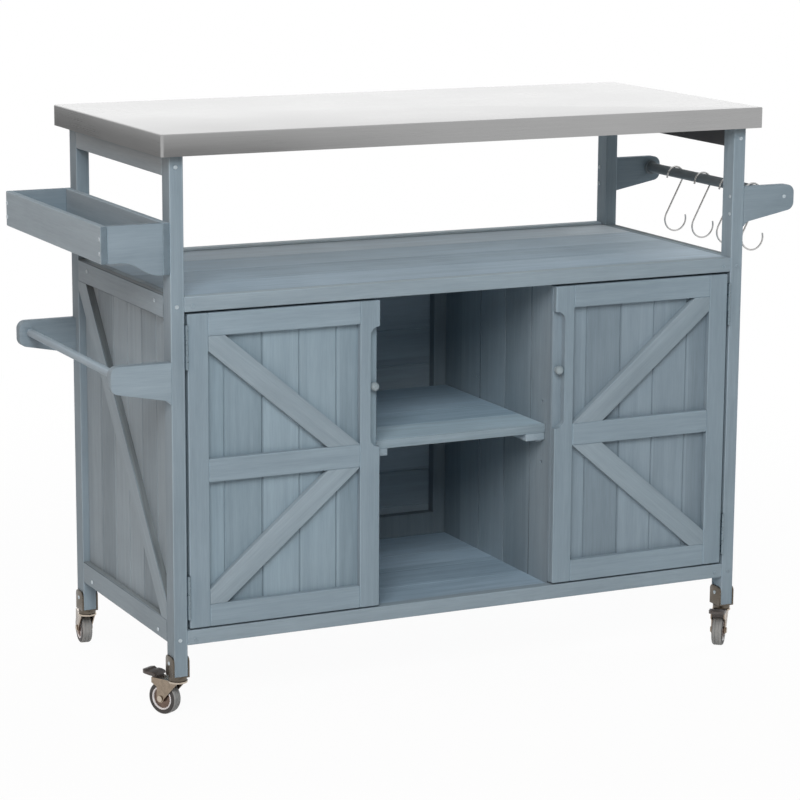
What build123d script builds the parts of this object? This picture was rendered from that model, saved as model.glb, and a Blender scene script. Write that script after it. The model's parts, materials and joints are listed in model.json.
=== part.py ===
from build123d import *
from math import acos, atan2, cos, pi, radians, sin
import os

os.makedirs("parts", exist_ok=True)

# Whole cart, in millimetres. X counts from the left posts, Y from the front, Z from the floor.
cab_w = 1052.0
cab_d = 467.0
cart_h = 947.0
top_t = 35.0
top_over = 20.5
skin_t = 1.2
top_corner_r = 5.0
post_w = 23.0
post_d = 33.0
leg_z = 70.0
edge_r = 1.2

# Cabinet carcass.
counter_z = 688.0
counter_t = 15.0
lip_h = 4.0
counter_end_gap = 0.8
base_z = 121.0
rail_h = 24.0
rail_t = 20.0
side_rail_h = 37.0
layer_t = 12.0
board_t = 11.0
back_board_t = 10.0
board_pitch = 65.5
wide_pitch = 94.0
board_gap = 0.1
groove = 1.6
plank_ease = 0.8
floor_t = 12.0
bearer_t = 8.0
bearer_w = 40.0
top_rail_h = 35.0
top_rail_t = 20.0
side_brace_w = 38.0
divider_t = 15.0
divider_step = 4.0
stop_gap = 2.0
cleat_w = 24.0
cleat_t = 20.0
back_rail_h = 36.0
bottom_cleat_h = 41.0

# Shelf in the middle bay.
shelf_z = 418.0
shelf_t = 15.0
shelf_setback = 16.0
shelf_end_gap = 1.0
shelf_back_gap = 2.0
batten_w = 36.0
batten_h = 12.0
pin_r = 2.5
pin_len = 20.0
pin_depth = 8.0
pin_front = 28.0
pin_spacing = 242.0
pin_step = 52.5

# Doors.
door_w = 335.0
door_gap_top = 4.0
door_gap_bottom = 3.0
hinge_gap = 5.0
stile_w = 35.0
door_rail_h = 37.0
mid_rail_h = 38.0
mid_rail_z = 405.0
door_board_t = 10.0
brace_w = 37.0
brace_overrun = 60.0
notch_h = 200.0
notch_d = 17.0
notch_r = 15.0
notch_drop = 6.0
knob_r = 7.5
knob_stem_r = 3.2
knob_inset = 8.3
knob_stand = 1.5

# Butt hinges.
hinge_h = 72.0
hinge_inset = 52.0
leaf_t = 1.6
leaf_d = 18.0
knuckle_r = 2.3
hinge_pin_r = 1.0
hinge_pin_out = 2.4
running = 0.05
knuckle_gap = 0.3

# Racks on the two sides.
rack_rise = 119.0
rack_reach = 114.0
rack_board_t = 11.0
rack_outer_h = 59.0
rack_inner_h = 82.0
rack_bottom_t = 8.0
rack_end_inset = 0.8
bracket_len = 101.0
bracket_t = 17.0
bracket_end_h = 42.0
bracket_root_h = 60.0
bracket_foot = 8.0
bracket_r = 14.0
bar_from_end = 20.0
bar_drop = 20.0
socket = 7.0
tool_rise = 121.0
tool_bar_r = 9.0
collar_r = 13.0
collar_t = 4.0
towel_drop = 103.0
towel_bar_r = 7.0

# Hooks on the tool bar.
hook_ys = (94.0, 175.0, 259.0, 354.0)
wire_r = 1.6
hook_gap = 0.3
hook_top_r = 16.5
hook_lean = 3.5
hook_low_r = 22.0
hook_h = 117.0
hook_tip = 8.0

# Casters.
wheel_r = 27.0
wheel_w = 19.0
trail = 27.0
rim_r = 19.5
rim_t = 2.6
axle_r = 3.0
bracket_steel = 3.0
ear_h = 32.0
seat_t = 2.5
race_r = 15.0
race_h = 6.5
swivel_gap = 0.5
kingpin_r = 4.0
kingpin_head_r = 6.5
kingpin_head_t = 1.8
fork_plate = 3.0
fork_side = 2.0
fork_play = 1.0
boss_play = 0.3
fork_boss_r = 7.0
fork_nose = 11.0
axle_head_r = 5.0
axle_head_t = 2.0
hub_inset = 0.3
hub_boss_wall = 3.0
hub_dish = 3.0
pedal_out = 13.0
pedal_up = 2.5
pedal_w = 28.0
pedal_pin_r = 2.0
pedal_hub_r = 4.0
pedal_len = 26.5
pedal_heel = 4.0
pedal_t = 6.0
pedal_stand = 6.5
pedal_round = 10.0
neck_lap = 1.0
neck_play = 0.5
ear_wrap = 5.0
ear_foot = 14.0
turn_fl = 120.0
turn_fr = -130.0
turn_bl = 84.0
turn_br = 60.0

# Screw heads.
screw_r = 3.3
screw_h = 1.3
post_screw_drop = 19.0
rail_screw_in = 14.0
side_screw_front = 39.0
side_screw_rear = 45.0
side_screw_top = 14.0
side_screw_low = 11.0
rack_screw_high = 20.0
rack_screw_low = 43.0
bracket_screw_high = 16.0
bracket_screw_low = 46.0

# Derived levels and planes.
top_z0 = cart_h - top_t
right_x = cab_w - post_w
rear_y = cab_d - post_d
boards_x = layer_t + board_t
counter_z0 = counter_z - counter_t
plank_x = max(boards_x, post_w) + counter_end_gap
rack_top_z = counter_z + rack_rise
tool_top_z = counter_z + tool_rise
towel_top_z = counter_z - towel_drop
front_rail_z0 = counter_z - rail_h
base_rail_z1 = base_z + rail_h
floor_z0 = base_z + bearer_t
floor_z1 = floor_z0 + floor_t
back_y1 = cab_d - rail_t
back_y0 = back_y1 - back_board_t
cleat_y0 = back_y0 - cleat_t
door_z0 = base_rail_z1 + door_gap_bottom
door_z1 = front_rail_z0 - door_gap_top
door_t = layer_t + door_board_t
left_door_x0 = post_w + hinge_gap
right_door_x0 = right_x - hinge_gap - door_w
divider_y0 = door_t + stop_gap
bay_x0 = left_door_x0 + door_w - divider_step
bay_x1 = right_door_x0 + divider_step
shelf_y0 = divider_y0 + shelf_setback
shelf_y1 = cleat_y0 - shelf_back_gap
batten_z0 = shelf_z - shelf_t - batten_h
notch_z = (door_z1 - door_rail_h + mid_rail_z + mid_rail_h / 2) / 2 - notch_drop
mid_plane = Plane.YZ.offset(cab_w / 2)
race_z0 = leg_z - seat_t - race_h
fork_z1 = race_z0 - swivel_gap
fork_z0 = fork_z1 - fork_plate
fork_in = wheel_w / 2 + fork_play
fork_out = fork_in + fork_side

nodes = {}


def keep(name, solids):
    nodes[name] = solids


def block(x0, x1, y0, y1, z0, z1):
    middle = Pos((x0 + x1) / 2, (y0 + y1) / 2, (z0 + z1) / 2)
    return middle * Box(x1 - x0, y1 - y0, z1 - z0)


def soft(solid, size=edge_r):
    return chamfer(solid.edges(), size)


def plate_xz(points, y0, y1):
    face = Plane.XZ.offset(-y0) * Polygon(*points, align=None)
    return extrude(face, amount=y1 - y0, dir=(0, 1, 0))


def plate_yz(points, x0, x1):
    face = Plane.YZ.offset(x0) * Polygon(*points, align=None)
    return extrude(face, amount=x1 - x0, dir=(1, 0, 0))


def drum(x, y, z0, z1, r):
    return Pos(x, y, (z0 + z1) / 2) * Cylinder(r, z1 - z0)


def drum_y(x, z, y0, y1, r):
    return Pos(x, (y0 + y1) / 2, z) * Rot(90, 0, 0) * Cylinder(r, y1 - y0)


def drum_x(y, z, x0, x1, r):
    return Pos((x0 + x1) / 2, y, z) * Rot(0, 90, 0) * Cylinder(r, x1 - x0)


def runs(a, b, pitch):
    count = max(1, int((b - a) / pitch))
    starts = [a + i * pitch for i in range(count)]
    ends = starts[1:] + [b]
    half = board_gap / 2
    return [(s + (half if s > a else 0), e - (half if e < b else 0)) for s, e in zip(starts, ends)]


def flipped(solid):
    return mirror(solid, about=mid_plane)


def screw(x, y, z, out):
    head = Cylinder(screw_r, screw_h, align=(Align.CENTER, Align.CENTER, Align.MIN))
    head = chamfer(head.faces().sort_by(Axis.Z)[-1].edges(), screw_h * 0.45)
    return Plane(origin=(x, y, z), z_dir=out) * head


# Posts, and the rails that carry the top.
posts = []
for px in (0.0, right_x):
    for py in (0.0, rear_y):
        post = block(px, px + post_w, py, py + post_d, leg_z, top_z0)
        posts.append(chamfer(post.edges().filter_by(Axis.Z), edge_r))
keep("posts", posts)
top_rail = soft(block(0, top_rail_t, post_d, rear_y, top_z0 - top_rail_h, top_z0))
keep("top_side_rails", [top_rail, flipped(top_rail)])

# Working top: folded steel skin over a core board.
skin = block(-top_over, cab_w + top_over, -top_over, cab_d + top_over, top_z0, cart_h)
skin = fillet(skin.edges().filter_by(Axis.Z), top_corner_r)
skin = fillet(skin.faces().sort_by(Axis.Z)[-1].edges(), skin_t * 1.4)
lap = top_over - skin_t
core = block(-lap, cab_w + lap, -lap, cab_d + lap, top_z0, cart_h - skin_t)
core = fillet(core.edges().filter_by(Axis.Z), top_corner_r - skin_t)
keep("steel_top", [skin - core])
keep("top_core", [core])

# Counter planks with the rails in front of and behind them.
planks = []
for y0, y1 in runs(rail_t, back_y1, (back_y1 - rail_t) / 4.01):
    plank = block(plank_x, cab_w - plank_x, y0, y1, counter_z0, counter_z)
    planks.append(chamfer(plank.edges().filter_by(Axis.X), plank_ease))
keep("counter_boards", planks)
front_rail = soft(block(post_w, right_x, 0, rail_t, front_rail_z0, counter_z))
back_rail = soft(block(post_w, right_x, back_y1, cab_d, front_rail_z0, counter_z + lip_h))
keep("counter_rails", [front_rail, back_rail])
base_front = soft(block(post_w, right_x, 0, rail_t, base_z, base_rail_z1))
base_back = soft(block(post_w, right_x, back_y1, cab_d, base_z, base_z + back_rail_h))
keep("base_rails", [base_front, base_back])

# Side walls: upright boards behind two rails and one diagonal brace.
side_boards = []
for y0, y1 in runs(post_d, rear_y, board_pitch):
    board = block(layer_t, boards_x, y0, y1, base_z, counter_z)
    side_boards.append(chamfer(board.edges().filter_by(Axis.Z), groove))
keep("side_boards_left", side_boards)
keep("side_boards_right", [flipped(board) for board in side_boards])
side_top = soft(block(0, layer_t, post_d, rear_y, counter_z - side_rail_h, counter_z))
side_low = soft(block(0, layer_t, post_d, rear_y, base_z, base_z + side_rail_h))
open_z0 = base_z + side_rail_h
open_z1 = counter_z - side_rail_h
lean = atan2(open_z1 - open_z0, rear_y - post_d - side_brace_w)
across = side_brace_w / 2 / sin(lean)
strip = [(post_d - across, open_z0), (post_d + across, open_z0),
         (rear_y + across * 0.4, open_z1), (rear_y - across * 1.6, open_z1)]
side_window = block(-1, layer_t, post_d, rear_y, open_z0, open_z1)
side_brace = plate_yz(strip, 0, layer_t) & side_window
keep("side_frame_left", [side_top, side_low, side_brace])
keep("side_frame_right", [flipped(side_top), flipped(side_low), flipped(side_brace)])

# Floor planks on bearers, and the boarded back with its cleats.
floor = []
for y0, y1 in runs(rail_t, back_y0, wide_pitch):
    plank = block(post_w, right_x, y0, y1, floor_z0, floor_z1)
    floor.append(chamfer(plank.edges().filter_by(Axis.X), plank_ease))
keep("floor_boards", floor)
bearer_left = block(post_w, post_w + bearer_w, rail_t, back_y0, base_z, floor_z0)
bearer_mid = block(bay_x0 - bearer_w, bay_x0, rail_t, back_y0, base_z, floor_z0)
keep("floor_bearers", [bearer_left, bearer_mid, flipped(bearer_left), flipped(bearer_mid)])
back = []
for z0, z1 in runs(floor_z0, counter_z0, board_pitch):
    board = block(post_w, right_x, back_y0, back_y1, z0, z1)
    back.append(chamfer(board.edges().filter_by(Axis.X), groove))
keep("back_boards", back)
cleat = soft(block(bay_x0, bay_x0 + cleat_w, cleat_y0, back_y0, floor_z1, counter_z0))
corner_cleat = soft(block(boards_x, boards_x + cleat_w, cleat_y0, back_y0, floor_z1, counter_z0))
low_cleat = block(bay_x0 + cleat_w, bay_x1 - cleat_w, cleat_y0, back_y0, floor_z1, floor_z1 + bottom_cleat_h)
keep("back_cleats", [cleat, flipped(cleat), corner_cleat, flipped(corner_cleat), soft(low_cleat)])

# Dividers of upright boards with rows of pin holes, and the shelf on its pins.
pin_z = batten_z0 - pin_r
pin_rows = [shelf_z - shelf_t - pin_step, pin_z, shelf_z - shelf_t + pin_step]
pin_ys = [divider_y0 + pin_front, divider_y0 + pin_front + pin_spacing]
holes = [drum_x(y, z, bay_x0 - pin_depth, bay_x0 + 1, pin_r) for y in pin_ys for z in pin_rows]
first_wide = [divider_y0, divider_y0 + wide_pitch * 0.75]
divider_runs = [tuple(first_wide)] + runs(first_wide[1] + board_gap, back_y0, wide_pitch)
divider = []
for y0, y1 in divider_runs:
    board = block(bay_x0 - divider_t, bay_x0, y0, y1, floor_z1, counter_z0)
    board = chamfer(board.edges().filter_by(Axis.Z), groove)
    for hole in holes:
        board = board - hole
    divider.append(board)
keep("divider_left", divider)
keep("divider_right", [flipped(board) for board in divider])
shelf_pins = [drum_x(y, pin_z, bay_x0 - pin_depth, bay_x0 - pin_depth + pin_len, pin_r) for y in pin_ys]
keep("shelf_pins", shelf_pins + [flipped(pin) for pin in shelf_pins])
shelf = []
for y0, y1 in runs(shelf_y0, shelf_y1, wide_pitch):
    plank = block(bay_x0 + shelf_end_gap, bay_x1 - shelf_end_gap, y0, y1, shelf_z - shelf_t, shelf_z)
    shelf.append(chamfer(plank.edges().filter_by(Axis.X), plank_ease))
keep("shelf_boards", shelf)
batten_x = bay_x0 + shelf_end_gap
batten = block(batten_x, batten_x + batten_w, shelf_y0, shelf_y1, batten_z0, shelf_z - shelf_t)
keep("shelf_battens", [batten, flipped(batten)])


# Doors. Distances along a door count from its hinge edge.
def door(name, x0, hinge_on_left):
    x1 = x0 + door_w

    def span(u0, u1, y0, y1, z0, z1):
        ends = sorted([x0 + u0, x0 + u1] if hinge_on_left else [x1 - u0, x1 - u1])
        return block(ends[0], ends[1], y0, y1, z0, z1)

    def along(u):
        return x0 + u if hinge_on_left else x1 - u

    inner = door_w - stile_w
    mid_z0 = mid_rail_z - mid_rail_h / 2
    mid_z1 = mid_rail_z + mid_rail_h / 2
    hinge_stile = soft(span(0, stile_w, 0, layer_t, door_z0, door_z1))
    latch_stile = soft(span(inner, door_w, 0, layer_t, door_z0, door_z1))
    notch_z0 = notch_z - notch_h / 2
    notch = span(door_w - notch_d, door_w + notch_d, -layer_t, 2 * layer_t, notch_z0, notch_z0 + notch_h)
    notch = fillet(notch.edges().filter_by(Axis.Y), notch_r)
    rails = [(door_z1 - door_rail_h, door_z1), (mid_z0, mid_z1), (door_z0, door_z0 + door_rail_h)]
    rails = [soft(span(stile_w, inner, 0, layer_t, z0, z1)) for z0, z1 in rails]
    keep("door_frame_" + name, [hinge_stile, latch_stile - notch] + rails)
    braces = []
    for z_far, z_mid in ((door_z1 - door_rail_h, mid_z1), (door_z0 + door_rail_h, mid_z0)):
        sign = 1 if z_far > z_mid else -1
        run = inner - stile_w - 0.33 * brace_w
        rise = (z_mid - sign * 0.38 * brace_w) - z_far
        length = (run ** 2 + rise ** 2) ** 0.5
        du = run / length
        dz = rise / length
        half = brace_w / 2
        ends = (-brace_overrun, length + brace_overrun)
        corners = [(ends[0], -half), (ends[0], half), (ends[1], half), (ends[1], -half)]
        outline = [(along(stile_w + a * du - b * dz), z_far + a * dz + b * du) for a, b in corners]
        low, high = sorted((z_far, z_mid))
        window = span(stile_w, inner, -1, layer_t + 1, low, high)
        braces.append(plate_xz(outline, 0, layer_t) & window)
    keep("door_braces_" + name, braces)
    panel = []
    for a, b in runs(x0, x1, board_pitch):
        board = block(a, b, layer_t, door_t, door_z0, door_z1)
        panel.append(chamfer(board.edges().filter_by(Axis.Z), groove))
    keep("door_boards_" + name, panel)
    knob_x = along(door_w - knob_inset)
    ball = Pos(knob_x, layer_t - knob_r - knob_stand, notch_z) * Sphere(knob_r)
    stem = drum_y(knob_x, notch_z, layer_t - knob_r, layer_t, knob_stem_r)
    keep("door_knob_" + name, [ball + stem])


door("left", left_door_x0, True)
door("right", right_door_x0, False)

# Butt hinges: the post leaf holds the outer knuckles, the door leaf the middle one.
axis_x = post_w + hinge_gap / 2
axis_y = -hinge_pin_out
leaf_y0 = 0.2
post_leaves = []
door_leaves = []
hinge_pins = []
for hz in (door_z0 + hinge_inset, door_z1 - hinge_inset):
    z0 = hz - hinge_h / 2
    z1 = hz + hinge_h / 2
    m0 = hz - hinge_h / 6
    m1 = hz + hinge_h / 6
    leaf = block(post_w, post_w + leaf_t, leaf_y0, leaf_d, z0, z1)
    for a, b in ((z0, m0 - knuckle_gap), (m1 + knuckle_gap, z1)):
        tab = block(post_w, post_w + leaf_t, axis_y, leaf_y0, a, b)
        leaf = leaf + tab + drum(axis_x, axis_y, a, b, knuckle_r)
    post_leaves.append(leaf - drum(axis_x, axis_y, z0 - 1, z1 + 1, hinge_pin_r))
    leaf = block(left_door_x0 - leaf_t, left_door_x0, leaf_y0, leaf_d, z0, z1)
    tab = block(left_door_x0 - leaf_t, left_door_x0, axis_y, leaf_y0, m0, m1)
    leaf = leaf + tab + drum(axis_x, axis_y, m0, m1, knuckle_r)
    door_leaves.append(leaf - drum(axis_x, axis_y, z0 - 1, z1 + 1, hinge_pin_r + running))
    hinge_pins.append(drum(axis_x, axis_y, z0, z1, hinge_pin_r))
keep("hinge_post_leaves", post_leaves + [flipped(leaf) for leaf in post_leaves])
keep("hinge_pins", hinge_pins + [flipped(pin) for pin in hinge_pins])
keep("hinge_leaves_left", door_leaves)
keep("hinge_leaves_right", [flipped(leaf) for leaf in door_leaves])

# Spice rack on the left posts.
rack_outer_z0 = rack_top_z - rack_outer_h
rack_inner_z0 = rack_top_z - rack_inner_h
rack_x0 = -rack_reach + rack_board_t
rack_x1 = -rack_board_t
rack_outer = soft(block(-rack_reach, rack_x0, 0, cab_d, rack_outer_z0, rack_top_z))
rack_inner = soft(block(rack_x1, 0, 0, cab_d, rack_inner_z0, rack_top_z))
keep("spice_rack_boards", [rack_outer, rack_inner])
curve_x0 = rack_x0 + (rack_x1 - rack_x0) * 0.28
curve_x1 = rack_x0 + (rack_x1 - rack_x0) * 0.9
steps = [i / 8 for i in range(9)]
drop = rack_inner_h - rack_outer_h
curve = [(curve_x0 + (curve_x1 - curve_x0) * s, rack_outer_z0 - drop * (1 - cos(pi * s)) / 2) for s in steps]
end_shape = [(rack_x0, rack_top_z), (rack_x0, rack_outer_z0)] + curve
end_shape += [(rack_x1, rack_inner_z0), (rack_x1, rack_top_z)]
rack_y0 = rack_end_inset
rack_y1 = rack_end_inset + rack_board_t
rack_front = plate_xz(end_shape, rack_y0, rack_y1)
rack_rear = plate_xz(end_shape, cab_d - rack_y1, cab_d - rack_y0)
keep("spice_rack_ends", [rack_front, rack_rear])
rack_floor = block(rack_x0, rack_x1, rack_y1, cab_d - rack_y1, rack_outer_z0, rack_outer_z0 + rack_bottom_t)
keep("spice_rack_bottom", [rack_floor])


# Bar brackets on both sides: one shape, four times.
def bracket(x, side, top, y0, bar_r):
    shape = [(0, 0), (bracket_len, 0), (bracket_len, -bracket_end_h)]
    shape += [(bracket_foot, -bracket_root_h), (0, -bracket_root_h - bracket_foot)]
    solid = plate_xz([(x + side * u, top + v) for u, v in shape], y0, y0 + bracket_t)
    tip = x + side * bracket_len
    ends = [e for e in solid.edges().filter_by(Axis.Y) if abs(e.center().X - tip) < 0.01]
    solid = fillet(ends, bracket_r)
    bar_x = tip - side * bar_from_end
    hole_y0 = y0 + bracket_t - socket if y0 < cab_d / 2 else y0 - 1
    hole_y1 = y0 + bracket_t + 1 if y0 < cab_d / 2 else y0 + socket
    return solid - drum_y(bar_x, top - bar_drop, hole_y0, hole_y1, bar_r)


bar_y0 = bracket_t - socket
bar_y1 = cab_d - bracket_t + socket
brackets = []
for by in (0.0, cab_d - bracket_t):
    brackets.append(bracket(0, -1, towel_top_z, by, towel_bar_r))
    brackets.append(bracket(cab_w, 1, tool_top_z, by, tool_bar_r))
keep("bar_brackets", brackets)
towel_x = -bracket_len + bar_from_end
tool_x = cab_w + bracket_len - bar_from_end
tool_z = tool_top_z - bar_drop
keep("towel_bar", [drum_y(towel_x, towel_top_z - bar_drop, bar_y0, bar_y1, towel_bar_r)])
keep("tool_bar", [drum_y(tool_x, tool_z, bar_y0, bar_y1, tool_bar_r)])
collars = []
for cy0 in (bracket_t, cab_d - bracket_t - collar_t):
    ring = drum_y(tool_x, tool_z, cy0, cy0 + collar_t, collar_r)
    collars.append(ring - drum_y(tool_x, tool_z, cy0 - 1, cy0 + collar_t + 1, tool_bar_r))
keep("tool_bar_collars", collars)

# S-hooks: upper loop over the bar, slanting stem, lower loop open to the right.
hang = hook_top_r - tool_bar_r - hook_gap - wire_r
upper = (tool_x - hook_lean, tool_z - (hang ** 2 - hook_lean ** 2) ** 0.5)
lower = (tool_x - hook_lean / 2, tool_z + tool_bar_r + hook_gap + wire_r - hook_h + hook_low_r)
apart = ((upper[0] - lower[0]) ** 2 + (upper[1] - lower[1]) ** 2) ** 0.5
stem_angle = atan2(lower[1] - upper[1], lower[0] - upper[0]) + acos((hook_top_r + hook_low_r) / apart)


def on_loop(middle, r, angle):
    return (middle[0] + r * cos(angle), 0, middle[1] + r * sin(angle))


tip_angle = radians(165)
tip_at = on_loop(upper, hook_top_r, tip_angle)
tip_end = (tip_at[0] - hook_tip * sin(tip_angle), 0, tip_at[2] + hook_tip * cos(tip_angle))
leave = on_loop(upper, hook_top_r, stem_angle)
enter = on_loop(lower, -hook_low_r, stem_angle)
hook_end = on_loop(lower, hook_low_r, radians(18))
hook_path = Line(tip_end, tip_at)
hook_path += ThreePointArc(tip_at, on_loop(upper, hook_top_r, radians(85)), leave)
hook_path += Line(leave, enter)
hook_path += ThreePointArc(enter, on_loop(lower, hook_low_r, radians(-90)), hook_end)
wire = Plane(origin=hook_path @ 0, z_dir=hook_path % 0) * Circle(wire_r)
hook = sweep(wire, path=hook_path)
for i, hook_y in enumerate(hook_ys):
    keep("hook_%d" % (i + 1), [Pos(0, hook_y, 0) * hook])

# Casters, each built with its wheel trailing along +X and then turned on its leg.
side_shape = [(-fork_nose, fork_z1), (trail + fork_boss_r, fork_z1), (trail + fork_boss_r, wheel_r)]
side_shape += [(trail - fork_boss_r, wheel_r)]
pivot_x = trail + pedal_out
pivot_z = wheel_r * 2 + pedal_up
ear_x1 = pivot_x + ear_wrap
ear_shape = [(trail, fork_z1), (ear_x1, fork_z1), (ear_x1, pivot_z - ear_wrap), (trail, pivot_z - ear_foot)]


def fork(braked):
    body = drum(0, 0, fork_z0, fork_z1, race_r + 1)
    body += block(0, trail + fork_boss_r, -fork_out, fork_out, fork_z0, fork_z1)
    for y0, y1 in ((-fork_out, -fork_in), (fork_in, fork_out)):
        cheek = plate_xz(side_shape, y0, y1) + drum_y(trail, wheel_r, y0, y1, fork_boss_r)
        if braked:
            cheek += plate_xz(ear_shape, y0, y1)
            cheek -= drum_y(pivot_x, pivot_z, y0 - 1, y1 + 1, pedal_pin_r)
        body += cheek - drum_y(trail, wheel_r, y0 - 1, y1 + 1, axle_r)
    body -= drum(0, 0, fork_z0 - 1, fork_z1 + 1, kingpin_r + running)
    axle = drum_y(trail, wheel_r, -fork_out, fork_out, axle_r)
    head_y = fork_out + axle_head_t
    for y0, y1 in ((-head_y, -fork_out), (fork_out, head_y)):
        axle += drum_y(trail, wheel_r, y0, y1, axle_head_r)
    solids = [body, axle]
    if braked:
        solids.append(drum_y(pivot_x, pivot_z, -fork_out, fork_out, pedal_pin_r))
    return solids


tyre = drum_y(trail, wheel_r, -wheel_w / 2, wheel_w / 2, wheel_r)
tyre = fillet(tyre.edges(), (wheel_r - rim_r) * 0.5)
tyre -= drum_y(trail, wheel_r, -wheel_w, wheel_w, rim_r)
hub_w = wheel_w / 2 - hub_inset
hub = drum_y(trail, wheel_r, -hub_w, hub_w, rim_r)
for y0, y1 in ((-hub_w - 1, -hub_w + hub_dish), (hub_w - hub_dish, hub_w + 1)):
    hub -= drum_y(trail, wheel_r, y0, y1, rim_r - rim_t)
hub += drum_y(trail, wheel_r, -fork_in + boss_play, fork_in - boss_play, axle_r + hub_boss_wall)
hub -= drum_y(trail, wheel_r, -wheel_w, wheel_w, axle_r + running)

# Brake pedal: an upturned tread on a neck round its pin, outlined in shares of its length and thickness.
tread_z = pivot_z + pedal_stand
tread_shape = [(0.26, 0), (0.9, 0.33), (1, 0.75), (0.94, 1.17)]
tread_shape += [(0.72, 1.25), (0.55, 0.83), (0.38, 1), (0.15, 1)]
tread = [(pivot_x - pedal_heel, tread_z)]
tread += [(pivot_x + u * pedal_len, tread_z + v * pedal_t) for u, v in tread_shape]
tread += [(pivot_x - 0.75 * pedal_heel, tread_z + 0.67 * pedal_t)]
tread_plan = block(pivot_x - 2 * pedal_heel, pivot_x + pedal_len, -pedal_w / 2, pedal_w / 2,
                   pivot_z, tread_z + 2 * pedal_t)
tread_plan = fillet(tread_plan.edges().filter_by(Axis.Z).group_by(Axis.X)[-1], pedal_round)
pedal = plate_xz(tread, -pedal_w / 2, pedal_w / 2) & tread_plan
neck_z1 = tread_z + neck_lap
neck = [(pivot_x - 0.75 * pedal_hub_r, pivot_z), (pivot_x + pedal_hub_r, pivot_z)]
neck += [(pivot_x + 1.5 * pedal_hub_r, neck_z1), (pivot_x - 0.88 * pedal_hub_r, neck_z1)]
pedal += plate_xz(neck, -fork_in + neck_play, fork_in - neck_play)
pedal += drum_y(pivot_x, pivot_z, -fork_in + boss_play, fork_in - boss_play, pedal_hub_r)
pedal -= drum_y(pivot_x, pivot_z, -pedal_w, pedal_w, pedal_pin_r + running)

race = drum(0, 0, race_z0, race_z0 + race_h, race_r)
race += drum(0, 0, fork_z0 - boss_play - kingpin_head_t, race_z0, kingpin_r)
race += drum(0, 0, fork_z0 - boss_play - kingpin_head_t, fork_z0 - boss_play, kingpin_head_r)

spots = {
    "fl": (post_w / 2, post_d / 2, turn_fl, True),
    "fr": (cab_w - post_w / 2, post_d / 2, turn_fr, True),
    "bl": (post_w / 2, cab_d - post_d / 2, turn_bl, False),
    "br": (cab_w - post_w / 2, cab_d - post_d / 2, turn_br, False),
}
seats = []
races = []
screws = []
for name, (x, y, turn, braked) in spots.items():
    place = Pos(x, y, 0) * Rot(0, 0, turn)
    keep("caster_fork_" + name, [place * solid for solid in fork(braked)])
    keep("caster_hub_" + name, [place * hub])
    keep("caster_tyre_" + name, [place * tyre])
    if braked:
        keep("caster_pedal_" + name, [place * pedal])
    races.append(Pos(x, y, 0) * race)
    half_x = post_w / 2
    half_y = post_d / 2
    seat_z0 = leg_z - seat_t
    out = half_x + bracket_steel
    seat = block(-out, out, -half_y, half_y, seat_z0, leg_z)
    for x0, x1 in ((-out, -half_x), (half_x, out)):
        ear = block(x0, x1, -half_y, half_y, seat_z0, leg_z + ear_h)
        ear = fillet(ear.edges().filter_by(Axis.X).group_by(Axis.Z)[-1], half_y * 0.5)
        seat += ear
    seats.append(Pos(x, y, 0) * seat)
    screws.append(screw(x - out, y, leg_z + ear_h * 0.62, (-1, 0, 0)))
    screws.append(screw(x + out, y, leg_z + ear_h * 0.62, (1, 0, 0)))
keep("caster_seats", seats)
keep("caster_races", races)

# Screw heads on the posts, rails, racks and brackets.
rail_screw = post_w + rail_screw_in
low_z = base_z + rail_h * 0.4
high_z = counter_z - rail_h * 0.62
post_x = post_w * 0.44
pairs = [(post_x, top_z0 - post_screw_drop), (post_x, high_z), (rail_screw, high_z)]
pairs += [(post_x, low_z), (rail_screw, low_z)]
for sx, sz in pairs:
    head = screw(sx, 0, sz, (0, -1, 0))
    screws += [head, flipped(head)]
for sy in (post_d + side_screw_front, rear_y - side_screw_rear):
    for sz in (counter_z - side_screw_top, base_z + side_screw_low):
        head = screw(0, sy, sz, (-1, 0, 0))
        screws += [head, flipped(head)]
for sy in (rack_y0 + rack_board_t / 2, cab_d - rack_y0 - rack_board_t / 2):
    for sz in (rack_top_z - rack_screw_high, rack_top_z - rack_screw_low):
        screws.append(screw(-rack_reach, sy, sz, (-1, 0, 0)))
screws.append(screw(tool_x, 0, tool_z, (0, -1, 0)))
for sy in (bracket_t / 2, cab_d - bracket_t / 2):
    for sz in (tool_top_z - bracket_screw_high, tool_top_z - bracket_screw_low):
        screws.append(screw(right_x, sy, sz, (-1, 0, 0)))
keep("screws", screws)

# The origin goes to the floor at the middle of the whole cart.
whole = Compound([solid for solids in nodes.values() for solid in solids]).bounding_box()
shift = Pos(-(whole.min.X + whole.max.X) / 2, -(whole.min.Y + whole.max.Y) / 2, -whole.min.Z)
for name, solids in nodes.items():
    export_step(Compound([shift * solid for solid in solids]), "parts/" + name + ".step")
print("nodes", len(nodes), "shift", shift.position, "size", whole.size)
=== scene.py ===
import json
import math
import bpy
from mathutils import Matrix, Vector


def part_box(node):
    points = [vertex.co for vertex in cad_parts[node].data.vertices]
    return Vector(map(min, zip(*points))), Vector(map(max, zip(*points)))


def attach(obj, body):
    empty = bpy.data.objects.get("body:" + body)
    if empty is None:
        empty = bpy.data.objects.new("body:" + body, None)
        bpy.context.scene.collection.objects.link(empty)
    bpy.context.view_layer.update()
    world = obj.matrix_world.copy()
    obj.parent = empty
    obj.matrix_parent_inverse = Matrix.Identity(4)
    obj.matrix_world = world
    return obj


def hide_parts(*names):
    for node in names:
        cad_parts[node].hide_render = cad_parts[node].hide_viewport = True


bl_info = {
    "name": "Grill cart finish",
    "version": (1, 0, 0),
    "blender": (4, 5, 0),
    "location": "View3D > Sidebar > Grill cart",
    "description": "Finishes the packed grill cart: timber, steel top, hardware, casters and stage",
    "category": "Object",
}

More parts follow.
